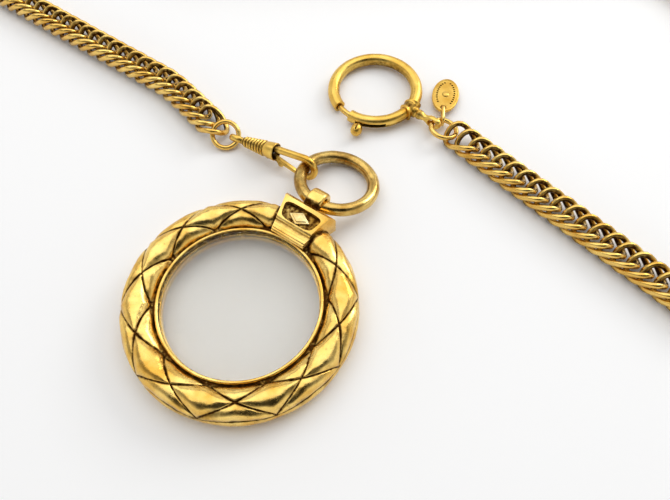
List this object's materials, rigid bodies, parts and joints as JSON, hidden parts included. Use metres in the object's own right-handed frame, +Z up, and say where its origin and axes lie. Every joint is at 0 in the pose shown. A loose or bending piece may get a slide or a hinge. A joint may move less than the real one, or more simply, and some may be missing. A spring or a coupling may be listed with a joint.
{
  "type": "pendant magnifier",
  "caption": "Round magnifying lens in a quilted ring, hung by a loose ring and a swivel clip from a double curb chain with a bolt ring clasp and an oval tag.",
  "frame": {"origin": "on the table, under the middle of the lens", "axes": "+Z up from the table, +X to the right and +Y away from the viewer"},
  "size_m": [0.2227, 0.2108, 0.0092],
  "materials": {
    "cast_gold": "aged gold plate on cast brass, with dark patina in the grooves",
    "worn_gold": "worn gold plate with brownish patina",
    "bright_gold": "smooth gold plate",
    "chain_gold": "smooth gold plated wire",
    "lens_glass": "clear polished glass",
    "steel": "plain spring steel"
  },
  "bodies": {
    "chain": {"chain_clip_end": "chain_gold", "chain_clip_run": "chain_gold", "chain_stored_1": "chain_gold", "chain_stored_2": "chain_gold", "chain_stored_3": "chain_gold", "chain_stored_4": "chain_gold", "chain_stored_5": "chain_gold", "chain_stored_6": "chain_gold", "chain_clasp_run": "chain_gold", "chain_clasp_end": "chain_gold"},
    "clip_ring": {"clip_jump_ring": "chain_gold"},
    "clip_swivel": {"clip_swivel_eye": "bright_gold"},
    "clip": {"clip_body": "bright_gold", "clip_gate_pin": "steel", "clip_gate_spring": "steel"},
    "gate": {"clip_gate": "bright_gold"},
    "bail": {"bail_ring": "worn_gold"},
    "magnifier": {"bezel": "cast_gold", "lens": "lens_glass", "retaining_ring": "cast_gold", "crown": "cast_gold", "crown_lozenge": "cast_gold"},
    "clasp_ring": {"clasp_jump_ring": "chain_gold"},
    "clasp": {"clasp_tube": "bright_gold", "clasp_collar": "bright_gold", "clasp_eye": "bright_gold", "clasp_spring": "steel"},
    "bolt": {"clasp_bolt": "bright_gold", "clasp_knob": "bright_gold"},
    "tag_link": {"tag_link": "chain_gold"},
    "tag": {"tag_plate": "bright_gold"}
  },
  "joints": [
    {"name": "clip_ring_swing", "type": "hinge", "parent": "chain", "child": "clip_ring", "pos_m": [-0.00859, 0.04924, 0.00247], "axis": [-0.7362, -0.6768, 0], "range_deg": [0, 10]},
    {"name": "clip_eye_swing", "type": "hinge", "parent": "clip_ring", "child": "clip_swivel", "pos_m": [-0.00435, 0.0478, 0.00174], "axis": [-0.342, -0.8297, -0.4412], "range_deg": [0, 15]},
    {"name": "clip_swivel_turn", "type": "hinge", "parent": "clip_swivel", "child": "clip", "pos_m": [-0.00263, 0.04685, 0.00211], "axis": [-0.86, 0.4767, -0.1822], "range_deg": [0, 60]},
    {"name": "clip_gate_hinge", "type": "hinge", "parent": "clip", "child": "gate", "pos_m": [0.00481, 0.0424, 0.00258], "axis": [-0.509, -0.8273, 0.2379], "range_deg": [0, 20], "stiffness_Nm_per_rad": 0.002, "springref_deg": -11.46, "deforming": ["clip_gate_spring"]},
    {"name": "bail_swing", "type": "hinge", "parent": "clip", "child": "bail", "pos_m": [0.01369, 0.0373, 0.00383], "axis": [-0.4707, -0.8533, 0.2243], "range_deg": [0, 20]},
    {"name": "magnifier_swing", "type": "hinge", "parent": "bail", "child": "magnifier", "pos_m": [0.01678, 0.02535, 0.00574], "axis": [-0.8339, 0.5519, 0], "range_deg": [0, 105]},
    {"name": "clasp_ring_swing", "type": "hinge", "parent": "chain", "child": "clasp_ring", "pos_m": [0.05132, 0.05028, 0.00247], "axis": [0.7008, 0.7133, 0], "range_deg": [0, 8]},
    {"name": "clasp_swing", "type": "hinge", "parent": "clasp_ring", "child": "clasp", "pos_m": [0.04734, 0.05297, 0.00235], "axis": [0.5993, 0.7743, -0.2034], "range_deg": [0, 30]},
    {"name": "bolt_slide", "type": "hinge", "parent": "clasp", "child": "bolt", "pos_m": [0.03229, 0.06472, 0.00188], "axis": [-0.0194, 0.0151, 0.9997], "range_deg": [0, 27], "stiffness_Nm_per_rad": 0.002, "springref_deg": -11.46, "deforming": ["clasp_spring"]},
    {"name": "tag_link_swing", "type": "hinge", "parent": "clasp_ring", "child": "tag_link", "pos_m": [0.05013, 0.05425, 0.00172], "axis": [0.987, -0.0453, -0.1545], "range_deg": [0, 45]},
    {"name": "tag_swing", "type": "hinge", "parent": "tag_link", "child": "tag", "pos_m": [0.05054, 0.05823, 0.0018], "axis": [0, 0, -1], "range_deg": [0, 60]}
  ]
}
